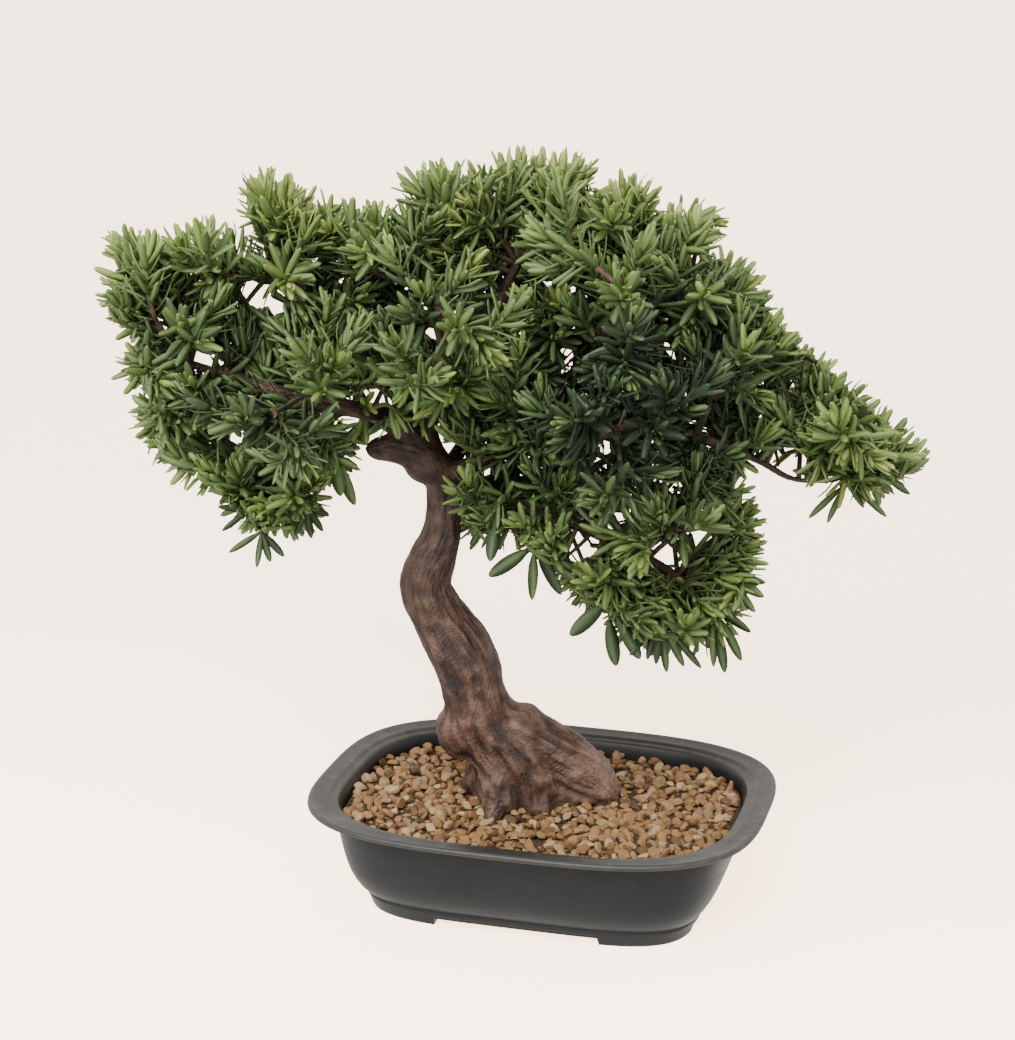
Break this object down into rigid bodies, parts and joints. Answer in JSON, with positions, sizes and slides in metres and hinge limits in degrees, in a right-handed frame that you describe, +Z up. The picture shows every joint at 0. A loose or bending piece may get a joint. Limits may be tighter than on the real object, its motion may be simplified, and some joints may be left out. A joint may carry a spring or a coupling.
{
  "type": "pine bonsai",
  "caption": "Small bonsai tree with a leaning curved trunk, surface roots and sprays of flat narrow leaves, in a low rectangular pot filled with gravel.",
  "frame": {"origin": "middle of the bounding box of the whole tree and pot, on the surface that the pot's feet stand on", "axes": "+Z up, +X along the pot's long side, to the right as seen from the front"},
  "size_m": [0.3438, 0.2144, 0.3308],
  "materials": {
    "pot": "satin charcoal moulded plastic",
    "soil": "crumbly dark soil",
    "gravel": "dry tan and ochre pebbles",
    "bark": "mottled red-brown bark",
    "leaves": "satin dark to yellow-green leaves"
  },
  "bodies": {
    "root": {"pot": "pot", "soil": "soil", "gravel": "gravel", "trunk": "bark", "foliage_leader_1": "leaves", "foliage_leader_2": "leaves", "foliage_left_1": "leaves", "foliage_left_2": "leaves", "foliage_left_3": "leaves", "foliage_left_4": "leaves", "foliage_left_5": "leaves", "foliage_left_high_1": "leaves", "foliage_left_high_2": "leaves", "foliage_left_high_3": "leaves", "foliage_left_high_4": "leaves", "foliage_left_low_1": "leaves", "foliage_left_low_2": "leaves", "foliage_left_back_1": "leaves", "foliage_left_back_2": "leaves", "foliage_left_front_1": "leaves", "foliage_left_front_2": "leaves", "foliage_top_left_1": "leaves", "foliage_top_left_2": "leaves", "foliage_top_left_3": "leaves", "foliage_top_front_1": "leaves", "foliage_top_front_2": "leaves", "foliage_top_back_1": "leaves", "foliage_top_back_2": "leaves", "foliage_right_high_1": "leaves", "foliage_right_high_2": "leaves", "foliage_right_high_3": "leaves", "foliage_right_high_4": "leaves", "foliage_right_high_front_1": "leaves", "foliage_right_high_front_2": "leaves", "foliage_right_high_back_1": "leaves", "foliage_right_high_back_2": "leaves", "foliage_right_high_back_3": "leaves", "foliage_right_high_back_4": "leaves", "foliage_right_1": "leaves", "foliage_right_2": "leaves", "foliage_right_3": "leaves", "foliage_right_4": "leaves", "foliage_right_5": "leaves", "foliage_right_6": "leaves", "foliage_right_front_1": "leaves", "foliage_right_front_2": "leaves", "foliage_right_front_3": "leaves", "foliage_right_back_1": "leaves", "foliage_right_back_2": "leaves", "foliage_low_right_1": "leaves", "foliage_low_right_2": "leaves", "foliage_low_right_3": "leaves", "foliage_low_right_4": "leaves", "foliage_low_right_5": "leaves", "foliage_low_right_6": "leaves", "foliage_back_1": "leaves", "foliage_back_2": "leaves", "foliage_back_low_1": "leaves", "foliage_back_low_2": "leaves"}
  },
  "joints": []
}
